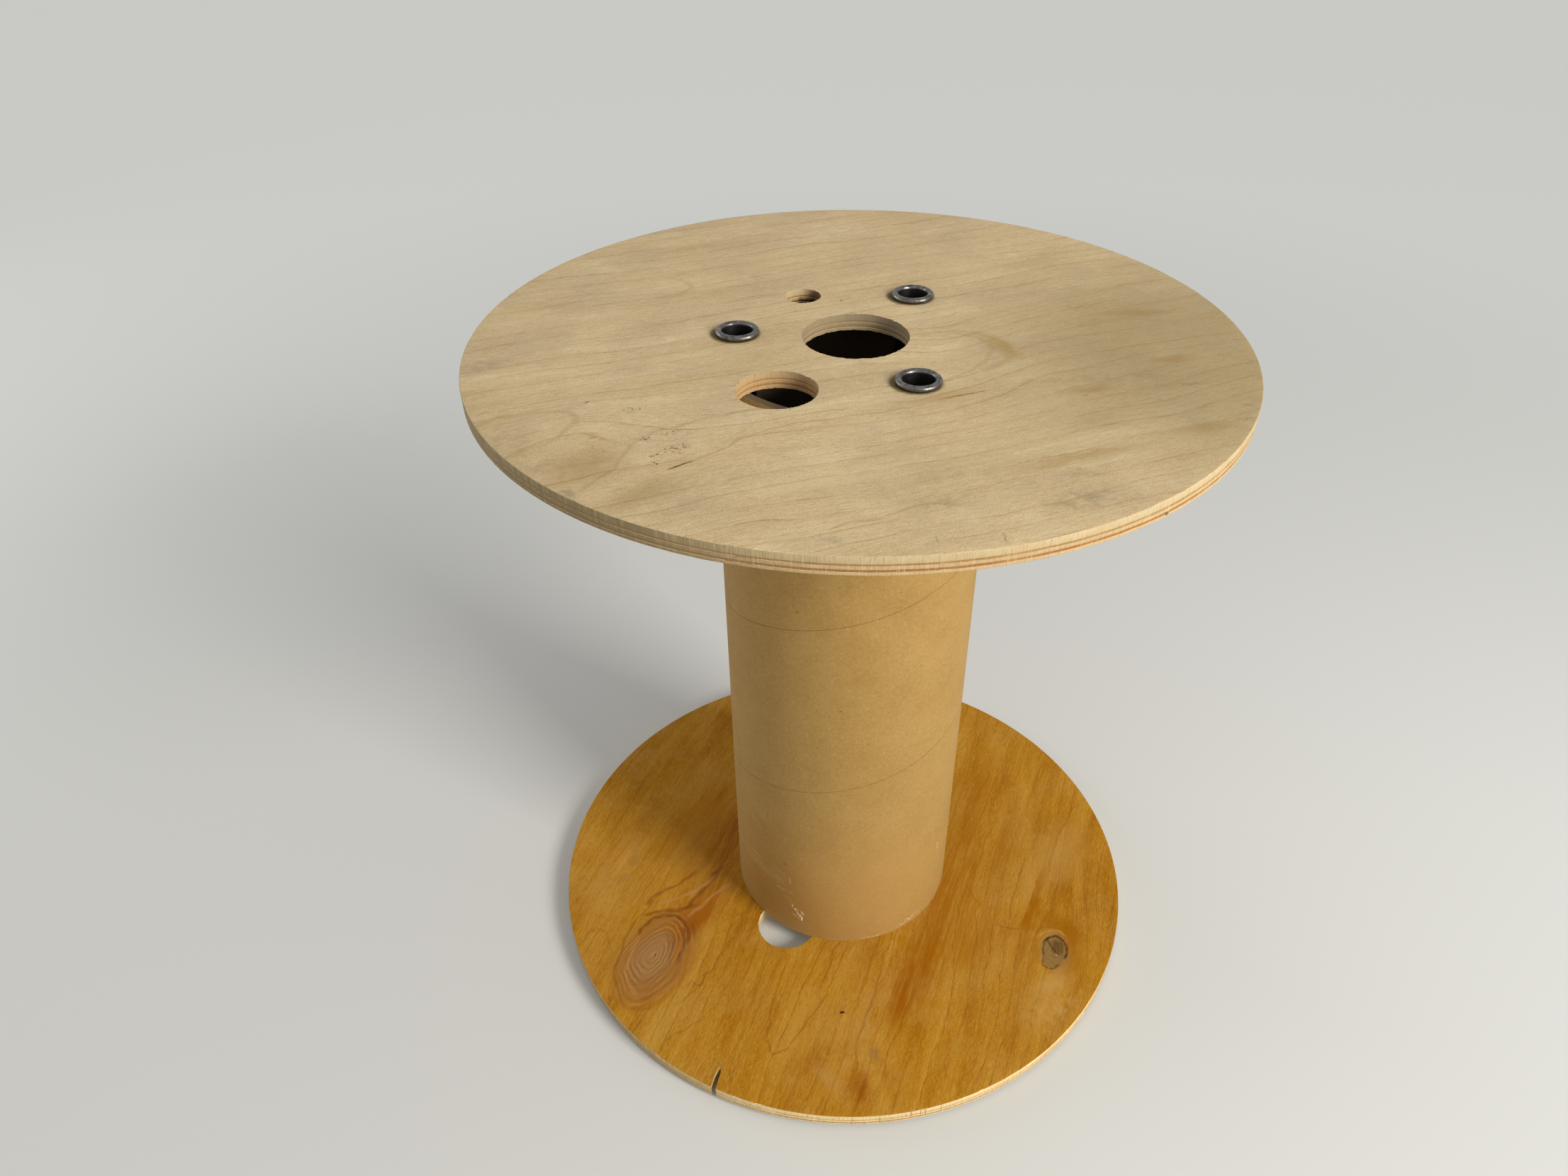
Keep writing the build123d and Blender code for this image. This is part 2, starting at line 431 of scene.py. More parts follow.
topMarks = flatMarks([
    # a broad grey darkening towards the right, and grey handling dirt along the front left
    (190, -10, 20, 330, 330, "#8A7850", 0.55, 0.3, "soft"),
    (70, -120, 24, 260, 90, "#A08A62", 0.3, 0.0, "soft streaky"),
    (120, -44, 10, 120, 16, "#87795A", 0.4, 0.0, "ragged patchy"),
    (-181, -43, 24, 40, 24, "#867B60", 0.5, 0.1, "ragged patchy"),
    (-150, -120, 308, 110, 40, "#9C8962", 0.4, 0.0, "soft patchy"),
    (-116, -160, 318, 26, 8, "#7E745A", 0.6, 0.0, "ragged patchy"),
    (-112, -138, 42, 66, 44, "#98763F", 0.52, 0.0, "soft"),
    (-84, -158, 42, 70, 28, "#8E7446", 0.45, 0.0, "soft"),
    (-66, -168, 30, 36, 15, "#9A8666", 0.4, 0.1, "ragged patchy"),
    (-13, -190, 5, 60, 12, "#938468", 0.45, 0.1, "ragged patchy"),
    (38, -159, 20, 54, 20, "#8D7F62", 0.45, 0.0, "ragged patchy"),
    (93, -156, 24, 56, 24, "#7E7156", 0.6, 0.0, "ragged patchy"),
    (98, -133, 24, 44, 14, "#8A7C5E", 0.5, 0.0, "ragged patchy"),
    (156, -50, 12, 44, 6, "#7C704F", 0.45, 0.0, "ragged patchy"),
    (0, -140, 24, 150, 24, "#E0CCA4", 0.4, 0.0, "soft streaky"),
    (-110, 60, 24, 120, 30, "#D9C69F", 0.35, 0.0, "soft streaky"),
    # amber stains
    (100, -120, 22, 90, 12, "#98743A", 0.5, 0.0, "soft"),
    (84, -130, 28, 34, 6, "#9C7940", 0.35, 0.0, "soft"),
    (112, -56, 20, 44, 14, "#927036", 0.5, 0.0, "soft"),
    (157, -21, 20, 36, 13, "#917038", 0.5, 0.0, "soft"),
    (150, 36, 8, 70, 12, "#98783F", 0.5, 0.0, "soft"),
    (45, -66, 23, 70, 14, "#B08C50", 0.4, 0.0, "soft"),
    (158, -92, 24, 40, 16, "#94743C", 0.45, 0.0, "soft"),
    # the eye-shaped figure right of the hub, open at its left
    (74, -10, 118, 50, 20, "#A08046", 0.6, 0.0, "soft"),
    ([(28, 1), (43, 6), (55, 8), (67, 3), (76, -7), (79, -18), (73, -29), (63, -37)], 7, "#A08248", 0.3),
    ([(52, 4), (62, 1), (68, -5), (69, -14), (65, -27), (58, -39), (51, -45), (44, -50)], 4, "#987B45", 0.26),
    # growth lines that swing round at the left, and one that runs on from the crack
    ([(-172, -110), (-162, -97), (-151, -93), (-141, -91), (-130, -91), (-126, -94), (-126, -100),
      (-130, -113)], 5.5, "#A4854F", 0.32),
    ([(-148, -134), (-140, -124), (-134, -121), (-129, -113)], 5, "#A4854F", 0.25),
    ([(-136, -145), (-132, -138), (-127, -137), (-122, -142), (-120, -150)], 4, "#A4854F", 0.22),
    ([(-112, -160), (-104, -148), (-100, -140), (-98, -127), (-96, -117), (-91, -111), (-84, -105), (-66, -93),
      (-46, -84), (-24, -77)], 3.2, "#96783F", 0.3),
    ([(-67, -131), (-59, -125), (-55, -119), (-45, -108), (-37, -102), (-26, -96), (-5, -90),
      (27, -78)], 2.4, "#96783F", 0.36),
    ([(-8, -182), (2, -176), (12, -174), (24, -165), (40, -160)], 2.6, "#8C6F3D", 0.35),
    ([(-112, 78), (-98, 71), (-92, 62), (-100, 52), (-112, 46)], 5, "#A4854F", 0.28),
    # the two cracks along the grain, with dark insides
    (-72.3, -135.5, 38, 17, 1.9, "#64482A", 0.9, 0.4, "clean"),
    (50, -65.6, 23.4, 36, 1.2, "#4E3822", 0.8, 0.2, "clean"),
    (-57, 50, 22, 34, 1.3, "#8A6A42", 0.6, 0.3, "clean"),
    # dirt round each tie tube's lip, with a painted shadow that makes it thicker at the left, away from the key light
    *[(ring.x - 1.3, ring.y - 0.2, 0, 29, 27, "#4E3A1A", 0.85, 0.8, "clean")
      for ring in (onCircle(tieCircleMm, angle) for angle in sorted(tieAngles.values()))],
    # flecks of dried glue and rust
    (-101.5, -86, 24, 20, 6, "#746B56", 0.7, 0.3, "ragged broken"),
    (-91, -113, 30, 8, 5, "#6E3419", 0.95, 0.4, "ragged broken"),
    (-84, -134, 70, 10, 3.5, "#6C2E14", 1.0, 0.4, "ragged broken"),
    (-84, -127, 40, 10, 5, "#6E3C1E", 0.95, 0.4, "ragged broken"),
    (-77, -122, 40, 18, 10, "#7A5428", 0.8, 0.3, "ragged broken"),
    (-80, -107, 30, 16, 6, "#84602F", 0.7, 0.3, "ragged broken"),
    (-115, -114, 30, 4, 1.5, "#7A5A38", 0.7),
    (-124, -80, 30, 3.4, 1.8, "#7A6A48", 0.7),
    (-8.5, 46.1, 80, 5, 1.8, "#6B5A3C", 0.8),
    (108.1, -63.3, 30, 5, 1.3, "#5F4526", 0.8),
    (60, -185, 100, 8, 1.6, "#6E6653", 0.6),
    (34, -187, 100, 9, 1.4, "#7C735E", 0.5),
    (182, -70, 160, 6, 1.2, "#6C6046", 0.7),
    (178, -83, 20, 12, 1.2, "#7A6B4E", 0.6),
])

innerVeneer = {
    "grainAngle": 73, "patternShift": (5.3, 0.6, 0.0), "wanderMm": 40, "jagMm": 4.0, "bandsAcross": 0.07,
    "lineSpacingMm": 10, "lineColour": "#824A05", "lineStrong": 0.62, "lineFaint": 0.08, "dashGap": 0.55,
    "betweenStrength": 0.4,
    "bandRamp": [(0.3, "#BC8E34"), (0.44, "#B17E1F"), (0.54, "#A87312"), (0.66, "#9A6200")],
    "blotchColour": "#B68B3E", "blotchStrength": 0.6, "fibreColour": "#8C5602", "paleFibre": "#CC9C48",
    "fibreStrength": 0.32, "speckleStrength": 0.26, "streakStrength": 0.11, "poreColour": "#764508",
    "poreStrength": 0.5, "roughness": (0.55, 0.75), "gloss": 0.06, "bends": [], "knots": [], "marks": [],
}

lowerBends = [
    {"x": -125, "y": -95, "length": 100, "width": 44, "lift": 0, "part": 0.95, "angle": 72},
    {"x": 147.6, "y": -76, "length": 52, "width": 24, "lift": 0, "part": 0.9, "angle": 80},
    {"x": -172, "y": -72, "length": 30, "width": 12, "lift": 9, "angle": 70},
]

bigKnot = {
    "x": -125, "y": -95, "angle": 66, "length": 90, "width": 58, "uneven": 0.26, "ragged": 0.035,
    "fineRings": 60, "ringStrength": 0.42, "ringColour": "#7A4A1C", "paleRing": "#BC9058",
    "ramp": [(0.0, "#B07E50"), (0.2, "#A67A4C"), (0.38, "#9E764A"), (0.46, "#94703F"), (0.53, "#A07238"),
             (0.6, "#94622A"), (0.68, "#A27238"), (0.76, "#946020"), (0.84, "#A4722E"), (0.92, "#986218"),
             (1.0, "#AA7A2C")],
    "cover": [(0.0, 1.0), (0.52, 0.95), (0.68, 0.8), (0.84, 0.5), (1.0, 0.0)],
}
smallKnot = {
    "x": 147.6, "y": -76, "angle": 78, "length": 40, "width": 28, "uneven": 0.3, "ragged": 0.08,
    "fineRings": 26, "ringStrength": 0.2, "ringColour": "#5E4320", "paleRing": "#A8844C",
    "ramp": [(0.0, "#8C6C40"), (0.5, "#8A6A3E"), (0.66, "#A0743A"), (0.8, "#A87C40"), (0.9, "#9C6C24"),
             (1.0, "#A87A2C")],
    "cover": [(0.0, 1.0), (0.6, 0.9), (0.8, 0.5), (1.0, 0.0)],
}

lowerMarks = flatMarks([
    # amber heartwood in streaks along the grain, strongest beside the core
    (80, -10, 76, 190, 64, "#9A5E02", 0.75, 0.0, "soft streaky"),
    (56, -88, 68, 150, 46, "#965800", 0.95, 0.1, "soft streaky"),
    (44, -116, 68, 100, 22, "#925400", 0.85, 0.1, "soft streaky"),
    (92, -66, 72, 100, 50, "#9C6204", 0.75, 0.0, "soft streaky"),
    (100, 70, 64, 130, 44, "#9C6206", 0.6, 0.0, "soft streaky"),
    (122, 24, 72, 120, 30, "#9A600A", 0.5, 0.0, "soft streaky"),
    ([(152, -1), (142, -24), (134, -46), (130, -62), (122, -84)], 10, "#945A06", 0.6, "soft streaky"),
    ([(147, -9), (139, -30), (135, -44), (127, -58)], 7, "#9A5E00", 0.8),
    ([(98, 6), (92, -25), (82, -52)], 8, "#9C6200", 0.7, "soft streaky"),
    ([(118, 92), (109, 73), (100, 52), (91, 31)], 5, "#9A600A", 0.5),
    (118, -60, 74, 60, 26, "#9E650A", 0.5, 0.0, "soft streaky"),
    (22, -128, 66, 90, 22, "#B5884A", 0.45, 0.0, "soft streaky"),
    # painted shade in dark amber where the core's shadow falls, and red-brown heartwood between the big knot and the
    # core
    (-108, 18, 78, 190, 100, "#9E6410", 0.5, 0.0, "soft"),
    (-92, -48, 60, 110, 40, "#925004", 0.85, 0.0, "soft streaky"),
    (-100, -56, 60, 70, 26, "#95560A", 0.7, 0.0),
    # painted shade again, darker, close beside the core
    (-84, 10, 74, 140, 40, "#8A4A02", 0.8, 0.0, "soft streaky"),
    # paler wood along the grain at the far left
    (-166, -20, 74, 110, 44, "#BE8C46", 0.5, 0.0, "soft streaky"),
    # the big knot's heart, the rings round it from the inside out, and the flames off its far end
    (-124, -93, 64, 104, 66, "#946028", 0.45, 0.4, "soft"),
    (-124.6, -94, 62, 41, 26, "#967442", 0.6, 0.4, "soft"),
    (-124.7, -92.9, 60, 12, 8, "#B4825A", 0.55, 0.1, "soft"),
    (-105, -66, 62, 54, 30, "#945406", 0.7, 0.1, "soft"),
    (-110, -78, 62, 34, 12, "#7E4612", 0.5, 0.1, "soft"),
    ([(-119.6, -76), (-114.7, -81.7), (-113.5, -89.7), (-116, -99.2)], 3, "#6A5236", 0.5),
    ([(-125.5, -74), (-120, -69.2), (-113.8, -73.5), (-110.2, -81.4), (-109.5, -89.4),
      (-112.4, -97.5)], 4.4, "#A8620F", 0.55),
    ([(-140, -76), (-137.1, -71.3), (-131.4, -63.5), (-123.5, -59.7), (-115.1, -59.3), (-108, -64.8),
      (-105.1, -76.3), (-105.6, -87.7), (-109, -99)], 4.4, "#64340F", 0.65),
    ([(-136.8, -60.4), (-125.3, -57), (-112.9, -54.5), (-102, -50)], 4.8, "#7C3E0C", 0.65),
    ([(-138, -52), (-134.3, -45.6), (-125.2, -39), (-117.4, -33.3), (-106, -22)], 5, "#7A4616", 0.6),
    ([(-109.6, -53), (-102.4, -43.1), (-95.9, -31.3), (-88, -16)], 6, "#6C3A12", 0.65),
    ([(-105.2, -59.6), (-97.9, -49.9), (-89.8, -39.9), (-80, -30)], 4.4, "#B4854E", 0.55),
    ([(-129.2, -50.6), (-119.6, -47.5), (-111.7, -42.7), (-102.2, -36.7), (-92, -24)], 4.4, "#B0824A", 0.55),
    (-102.5, -71, 78, 26, 10, "#7E430A", 0.75, 0.1),
    (-97, -62, 62, 50, 14, "#97570A", 0.6, 0.1, "ragged streaky"),
    ([(-142.4, -64.9), (-147.1, -78.4), (-149.7, -94.7), (-150.1, -107.2), (-148, -120)], 3.8, "#854E0E", 0.55),
    ([(-139, -80), (-142, -95.1), (-142.2, -106.9), (-139.3, -118.1), (-132, -124)], 5, "#B58449", 0.4),
    ([(-136.3, -116.5), (-127.8, -115.3), (-120.3, -108), (-115, -100)], 2.6, "#7A5434", 0.45),
    ([(-130, -128.5), (-117.9, -123), (-111.5, -112.9), (-107.8, -101.2), (-104.5, -86)], 2.8, "#84542E", 0.45),
    ([(-144, -124), (-137, -134), (-125.4, -134.5), (-116, -128.1), (-108, -118),
      (-100, -100)], 5, "#96591A", 0.4),
    ([(-100, -117), (-96.8, -112.9), (-92.5, -115.7), (-89.5, -112.5), (-87.2, -103)], 1.8, "#84500A", 0.5),
    ([(-176, -84), (-170, -73), (-160, -76), (-156, -90)], 2.4, "#84521C", 0.3),
    # the small knot: amber wood beside it, grey-brown wood in it, a dark gap round its far side and a
    # crack to its heart
    (154, -55, 140, 54, 26, "#945C00", 0.75, 0.0, "soft"),
    (160, -68, 84, 46, 20, "#965A00", 0.7, 0.0, "soft"),
    (160, -84, 66, 50, 20, "#9A6A14", 0.55, 0.0, "soft"),
    (136, -46, 72, 44, 12, "#9C6200", 0.7, 0.0, "soft streaky"),
    (134, -76, 84, 34, 8, "#9A6606", 0.5, 0.1, "soft"),
    (147, -77, 74, 27, 18, "#8A6C3A", 0.95, 0.8, "soft"),
    (149.8, -73.2, 70, 18, 12, "#5E4220", 0.85, 0.3, "soft"),
    ([(138, -80), (139.5, -72), (142.5, -67), (145.3, -65)], 3, "#5E3E18", 0.7),
    ([(138.2, -81), (138.7, -86.4), (141, -88.6), (144.5, -89.1), (149, -87)], 2.8, "#5E3E18", 0.75),
    ([(141.5, -68), (145.3, -65), (149.2, -63.7), (152.4, -65.3)], 3.8, "#3A2414", 0.8),
    ([(151.5, -64.6), (154.5, -68.3), (156.1, -72.6), (155.4, -77), (152.3, -82)], 3.0, "#3E2814", 0.75),
    ([(143.8, -66.5), (145, -72.3), (147.8, -77.4)], 1.8, "#432A14", 0.75),
    (148, -78.4, 140, 3.6, 1.4, "#C4A084", 0.7, 0.2, "soft"),
    ([(137, -64), (142.1, -60.4), (146.8, -59), (151.2, -59.4), (155, -61.7)], 2.6, "#BC9048", 0.6),
    ([(136, -60), (142, -56.6), (148, -55.8), (154, -58)], 2, "#85540F", 0.4),
    ([(110, -55), (114, -59), (127, -59)], 1.8, "#7E4A0A", 0.45),
    (143, -101, 30, 44, 22, "#BC9450", 0.65, 0.0, "soft"),
    (140, -120, 20, 80, 50, "#BC9450", 0.6, 0.0, "soft patchy"),
    (160, 10, 60, 100, 50, "#BC924A", 0.55, 0.0, "soft"),
    # stains and shades at the front
    (16.5, -184, 95, 40, 18, "#854400", 0.85, 0.0, "ragged streaky"),
    (14, -180, 90, 34, 30, "#8E4E04", 0.5, 0.0),
    (30, -168, 112, 56, 14, "#945806", 0.6, 0.0, "ragged streaky"),
    (-4, -176, 132, 50, 18, "#B48A50", 0.35, 0.0, "soft"),
    (-12, -164, 24, 80, 22, "#905A0C", 0.55, 0.0, "ragged patchy"),
    (24, -158, 80, 14, 10, "#74603C", 0.4, 0.0),
    (-54, -118, 78, 70, 5, "#965C10", 0.5, 0.1, "soft"),
    (-152, -13, 70, 20, 12, "#7E5C2C", 0.4, 0.0),
    (-158, -30, 10, 20, 14, "#8C6834", 0.35, 0.0),
    # growth lines: the pointed figure at the front, opening away, and others near it and right of the core
    ([(-36, -96), (-40, -114), (-43, -134), (-44, -150), (-39, -163)], 1.9, "#84500A", 0.5),
    ([(-39, -163), (-30, -157), (-18, -138), (-5, -112), (0, -92), (6, -76)], 1.9, "#84500A", 0.45),
    ([(-109, -157), (-103, -150), (-98, -149), (-87, -139), (-84, -124)], 1.7, "#84500A", 0.45),
    ([(-65, -186), (-64, -169), (-63, -158), (-58, -140)], 1.7, "#84500A", 0.45),
    ([(35, -75), (29, -93), (25, -115), (18, -134), (13, -154), (13, -170)], 1.7, "#84500A", 0.45),
    ([(-103, -129), (-94, -119), (-88, -109), (-81, -92), (-73, -76), (-66, -52)], 1.9, "#84500A", 0.4),
    ([(82, -35), (83, -55), (78, -77), (78, -98), (73, -120), (66, -150)], 1.7, "#84500A", 0.4),
    ([(91, -24), (97, -38), (94, -67), (91, -90)], 1.7, "#84500A", 0.4),
    ([(181, 60), (166, 34), (156, 10), (150, -12)], 1.7, "#84500A", 0.35),
    # dark specks in the big knot's heart and on the board
    (-124.7, -92.9, 70, 4.4, 1.8, "#6A3E1C", 0.75, 0.2, "clean"),
    (3.5, -130, 10, 4.4, 2.2, "#26180C", 0.95, 0.5, "clean"),
])

topLook = {**outerVeneer, "bends": topBends, "marks": topMarks}
bottomLook = {**outerVeneer, "grainAngle": 66, "patternShift": (8.2, 4.1, 0.0), "marks": flatMarks([
    (60, 110, 70, 120, 60, "#93805C", 0.45, 0.0, "ragged patchy"),
    (-120, -60, 60, 90, 40, "#8E7C5A", 0.45, 0.0, "ragged patchy"),
    (-40, 140, 66, 24, 1.2, "#5C3E22", 0.8, 0.4, "clean"),
    (110, -90, 30, 40, 14, "#7F7458", 0.5, 0.1, "ragged patchy"),
])}
upperInnerLook = {
    **innerVeneer, "grainAngle": 30, "patternShift": (2.2, 9.3, 0.0),
    "bends": [{"x": 120, "y": 70, "length": 60, "width": 30, "lift": 0, "part": 0.9}],
    "knots": [{**smallKnot, "x": 120, "y": 70, "angle": 30}],
    "marks": flatMarks([(-90, 90, 30, 120, 40, "#A65A0C", 0.4, 0.0), (20, -150, 25, 90, 22, "#A05C0A", 0.4, 0.0)]),
}
lowerInnerLook = {**innerVeneer, "bends": lowerBends, "knots": [bigKnot, smallKnot], "marks": lowerMarks}

print("veneers")
topVeneer = veneerMaterial("birchVeneerOuterTop", topLook)
bottomVeneer = veneerMaterial("birchVeneerOuterBottom", bottomLook)
upperInnerVeneer = veneerMaterial("birchVeneerInnerUpper", upperInnerLook)
lowerInnerVeneer = veneerMaterial("birchVeneerInnerLower", lowerInnerLook)


def plyEdgeMaterial(name, look):
    # Sawn edge of birch plywood: pale and brown plies in turn, upright end-grain fibres, and on one side grey-brown
    # streaks that are part ground-in dirt and part painted shade
    material, add, place = startMaterial(name)
    height = add("SeparateXYZ", place).outputs["Z"]
    ripple = stretchedNoise(add, place, (60, 60, 0), Detail=3.0)
    share = add("MapRange", height, look["bottom"], look["bottom"] + look["thickness"], 1.0, 0.0, clamp=False)
    share = add("Math", ripple, look["rippleShare"], share, operation="MULTIPLY_ADD")
    share = add("Math", share, look["rippleShare"] / 2, operation="SUBTRACT")
    colour = add("ValToRGB", share, stops=look["plyRamp"])
    # end grain: fibre bundles about 0.7 mm wide standing upright
    endGrain = stretchedNoise(add, place, (1300, 1300, 160), Detail=2.0)
    patches = add("TexNoise", place, Scale=45.0, Detail=3.0)
    for pattern, start, end, strongest, shade in ((endGrain, 0.55, 0.75, 0.5, look["glint"]),
                                                  (endGrain, 0.47, 0.28, 0.5, "#A07C50"),
                                                  (patches, 0.5, 0.72, 0.3, "#B8986A")):
        colour = blend(add, add("MapRange", pattern, start, end, 0.0, strongest), colour, shade)
    # dirt and painted shade: the rim's side away from the key light is greyed, in streaks
    dirtAndShadeSide = add("VectorMath", place, look["dirtAndShadeWay"], operation="DOT_PRODUCT").outputs["Value"]
    dirtAndShadeHere = add("MapRange", dirtAndShadeSide, look["dirtAndShadeFrom"], look["dirtAndShadeFull"], 0.0, look["dirtAndShadeStrength"],
                    interpolation_type="SMOOTHSTEP")
    streaks = stretchedNoise(add, place, (420, 420, 60), Detail=3.0)
    streaky = add("MapRange", streaks, 0.25, 0.55, 0.35)
    colour = blend(add, add("Math", dirtAndShadeHere, streaky, operation="MULTIPLY"), colour, "#8C7956")
    colour = addMarks(add, place, colour, look["marks"])
    bump = add("Bump", Height=endGrain, Strength=0.6, Distance=0.3 * mm)
    finishMaterial(add, Base_Color=colour, Roughness=0.82, Specular_IOR_Level=0.25, IOR=1.5, Normal=bump)
    return material


# shares of the thickness from the top, with the brown plies lying crosswise
plyShares = [0.4, 0.5, 0.69, 0.82]
upperPlyRamp = [
    (0.0, "#C1AE89"), (0.37, "#BAA57B"), (0.41, "#9F7A4B"), (0.49, "#966F40"), (0.53, "#BFA67C"), (0.66, "#BA9E71"),
    (0.7, "#9B6638"), (0.8, "#955F35"), (0.84, "#C1A87C"), (1.0, "#BAA174"),
]
lowerPlyRamp = [
    (0.0, "#E2CD9C"), (0.4, "#E0C896"), (0.44, "#D3B37E"), (0.5, "#D3B37E"), (0.54, "#E0C896"), (0.72, "#DDC595"),
    (0.75, "#B08A62"), (0.81, "#B08A62"), (0.85, "#DDC595"), (1.0, "#D8BE8E"),
]
unturned = (0, 0, 0)
upperLow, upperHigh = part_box("upper_flange")
lowerLow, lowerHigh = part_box("lower_flange")
coreLow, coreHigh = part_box("core_tube")

print("plies")
upperEdge = plyEdgeMaterial("birchPlyEdgeUpper", {
    "bottom": upperLow.z, "thickness": upperHigh.z - upperLow.z, "rippleShare": 0.07, "plyRamp": upperPlyRamp,
    "glint": "#D0BA8E", "dirtAndShadeWay": (-0.94, -0.34, 0), "dirtAndShadeFrom": 0.05, "dirtAndShadeFull": 0.15, "dirtAndShadeStrength": 0.92,
    "marks": [
        makeMark((129, -153, 413.6), (0, 0, math.radians(-50)), (1.6, 1.6, 0.8), "#2E1C10", 0.95, 0.6, "clean"),
        # handling dirt in the hub's bore, and a browner wall in the cable hole
        makeMark((0, 0, 417), unturned, (42, 42, 30), "#8A7A60", 0.72, 0.75),
        makeMark((-36.5, -63.2, 417), unturned, (30, 30, 30), "#AE8350", 0.4, 0.75),
        # painted shade in the drive hole: its wall is darker brown at its right, and black low down
        makeMark((-22, 57, 416), unturned, (12, 12, 12), "#5E4222", 0.85, 0.3),
        makeMark((-27, 61, 412), unturned, (9, 7, 5.4), "#140C06", 1.0, 0.4),
    ],
})
lowerEdge = plyEdgeMaterial("birchPlyEdgeLower", {
    "bottom": lowerLow.z, "thickness": lowerHigh.z - lowerLow.z, "rippleShare": 0.07, "plyRamp": lowerPlyRamp,
    "glint": "#EAD7AE", "dirtAndShadeWay": (-0.9, -0.43, 0), "dirtAndShadeFrom": 0.11, "dirtAndShadeFull": 0.2, "dirtAndShadeStrength": 0.6,
    # short upright nicks in the rim at the front
    "marks": [makeMark((*onCircle(200, turn).xy, 8), (0, 0, math.radians(turn)), (3, 0.35, 6), "#7A5630", 0.7,
                       0.4, "clean") for turn in (283.5, 285.2, 286.1, 289.0, 278.0)],
})

flangeShape = {
    "radius": 0.200, "thickness": 0.009, "sides": 288, "edgeBreakMm": 0.5, "gridMm": 8, "gridShift": 0.37,
    "glueLineMm": 0.1,            # between the two cuts at every glue line
    "plyReliefMm": 0.14,          # how far the brown plies stand back on the rim and in the holes
    "fuzzMm": 0.28,               # how ragged the holes' edges are
    "fuzzBandMm": 0.3,            # how near to a face the ragged corners lie
    "rimWearMm": 0.07, "rimBandMm": 0.6, "swellMm": 0.22, "swellSize": 0.09, "smoothDegrees": 28,
    # x, y and radius in mm and corners of each round hole, the three with splinters first
    "holes": [(0, 0, 28, 128), (-36.5, -63.22, 20, 96), (-30, 51.96, 10, 64),
              (-61.5, 0, 9.2, 64), (30.75, -53.26, 9.2, 64), (30.75, 53.26, 9.2, 64)],
    "splinteredHoles": 3,
}
# how far below a face and out into the wood they start, and how they vary
splinters = {"perHole": 26, "depthMm": 0.25, "seatMm": 0.05, "sizes": (0.4, 1.0), "lengths": (0.5, 1.2),
             "leans": (-0.5, 0.5), "turns": (40, 140)}
steep = 0.3                # a face with less of its normal upwards is a wall
level = 0.6                # and one with more of it belongs to a flange's face
throughHeight = 0.03       # cutters reach past both faces of a flange


def addCutter(kind, location, **more):
    clearSelection()
    getattr(bpy.ops.mesh, kind)(location=location, **more)
    return bpy.context.object


def makeSplinter():
    # one sliver of torn fibre, 1.2 mm long and bent in the middle, that every ragged edge copies
    clearSelection()
    bpy.ops.mesh.primitive_cone_add(vertices=4, radius1=0.14 * mm, radius2=0.02 * mm, depth=1.2 * mm,
                                    end_fill_type="NGON")
    sliver = bpy.context.object
    bpy.ops.object.mode_set(mode="EDIT")
    bpy.ops.mesh.subdivide(number_cuts=1)
    pick(sliver, "VERT", lambda v: abs(v.co.z) < 0.1 * mm)
    bpy.ops.transform.translate(value=(0.12 * mm, 0, 0))
    leaveEdit()
    return sliver


